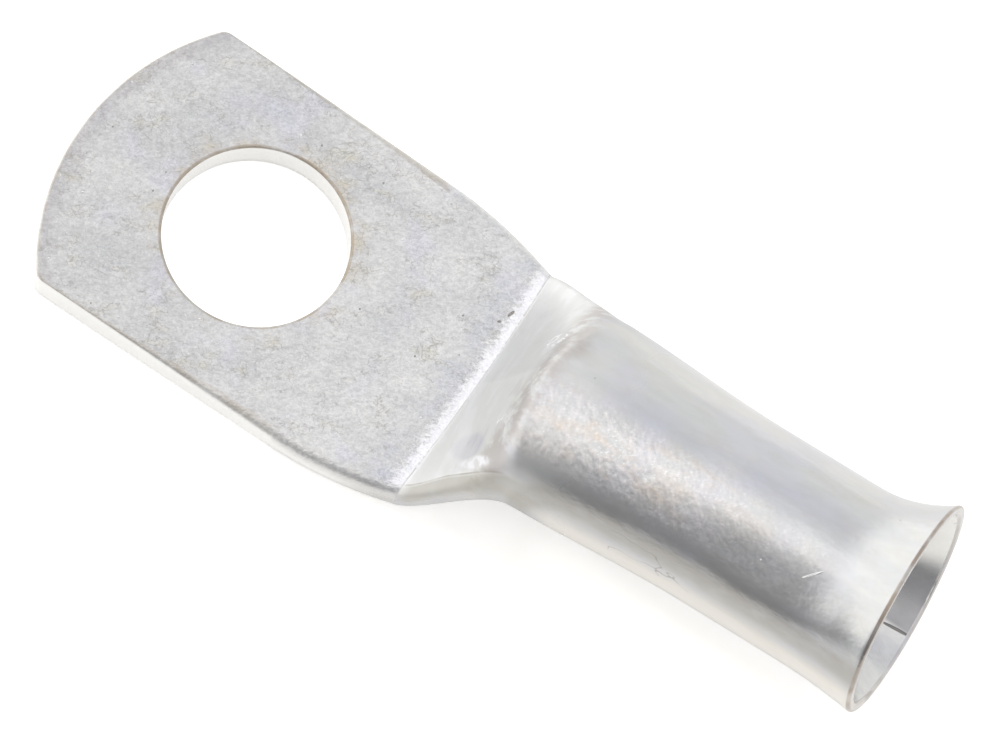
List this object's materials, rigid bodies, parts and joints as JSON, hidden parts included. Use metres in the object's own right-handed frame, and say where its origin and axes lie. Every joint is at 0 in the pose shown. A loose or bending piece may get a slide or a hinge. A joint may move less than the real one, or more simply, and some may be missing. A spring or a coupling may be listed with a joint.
{
  "type": "cable lug",
  "caption": "Tin-plated copper tube lug: a flat palm with a stud hole, a steep pressed neck and a round barrel with a flared mouth that a cable is crimped into.",
  "frame": {"origin": "centre of the stud hole on the palm's underside, the face that seats on the busbar", "axes": "+X from the palm towards the cable mouth, +Z out of the palm's upper face along the stud, +Y across the palm"},
  "size_m": [0.0333, 0.0114, 0.0091],
  "materials": {
    "tinned_copper": "satin tin plate over copper"
  },
  "bodies": {
    "root": {"cable_lug": "tinned_copper"}
  },
  "joints": []
}
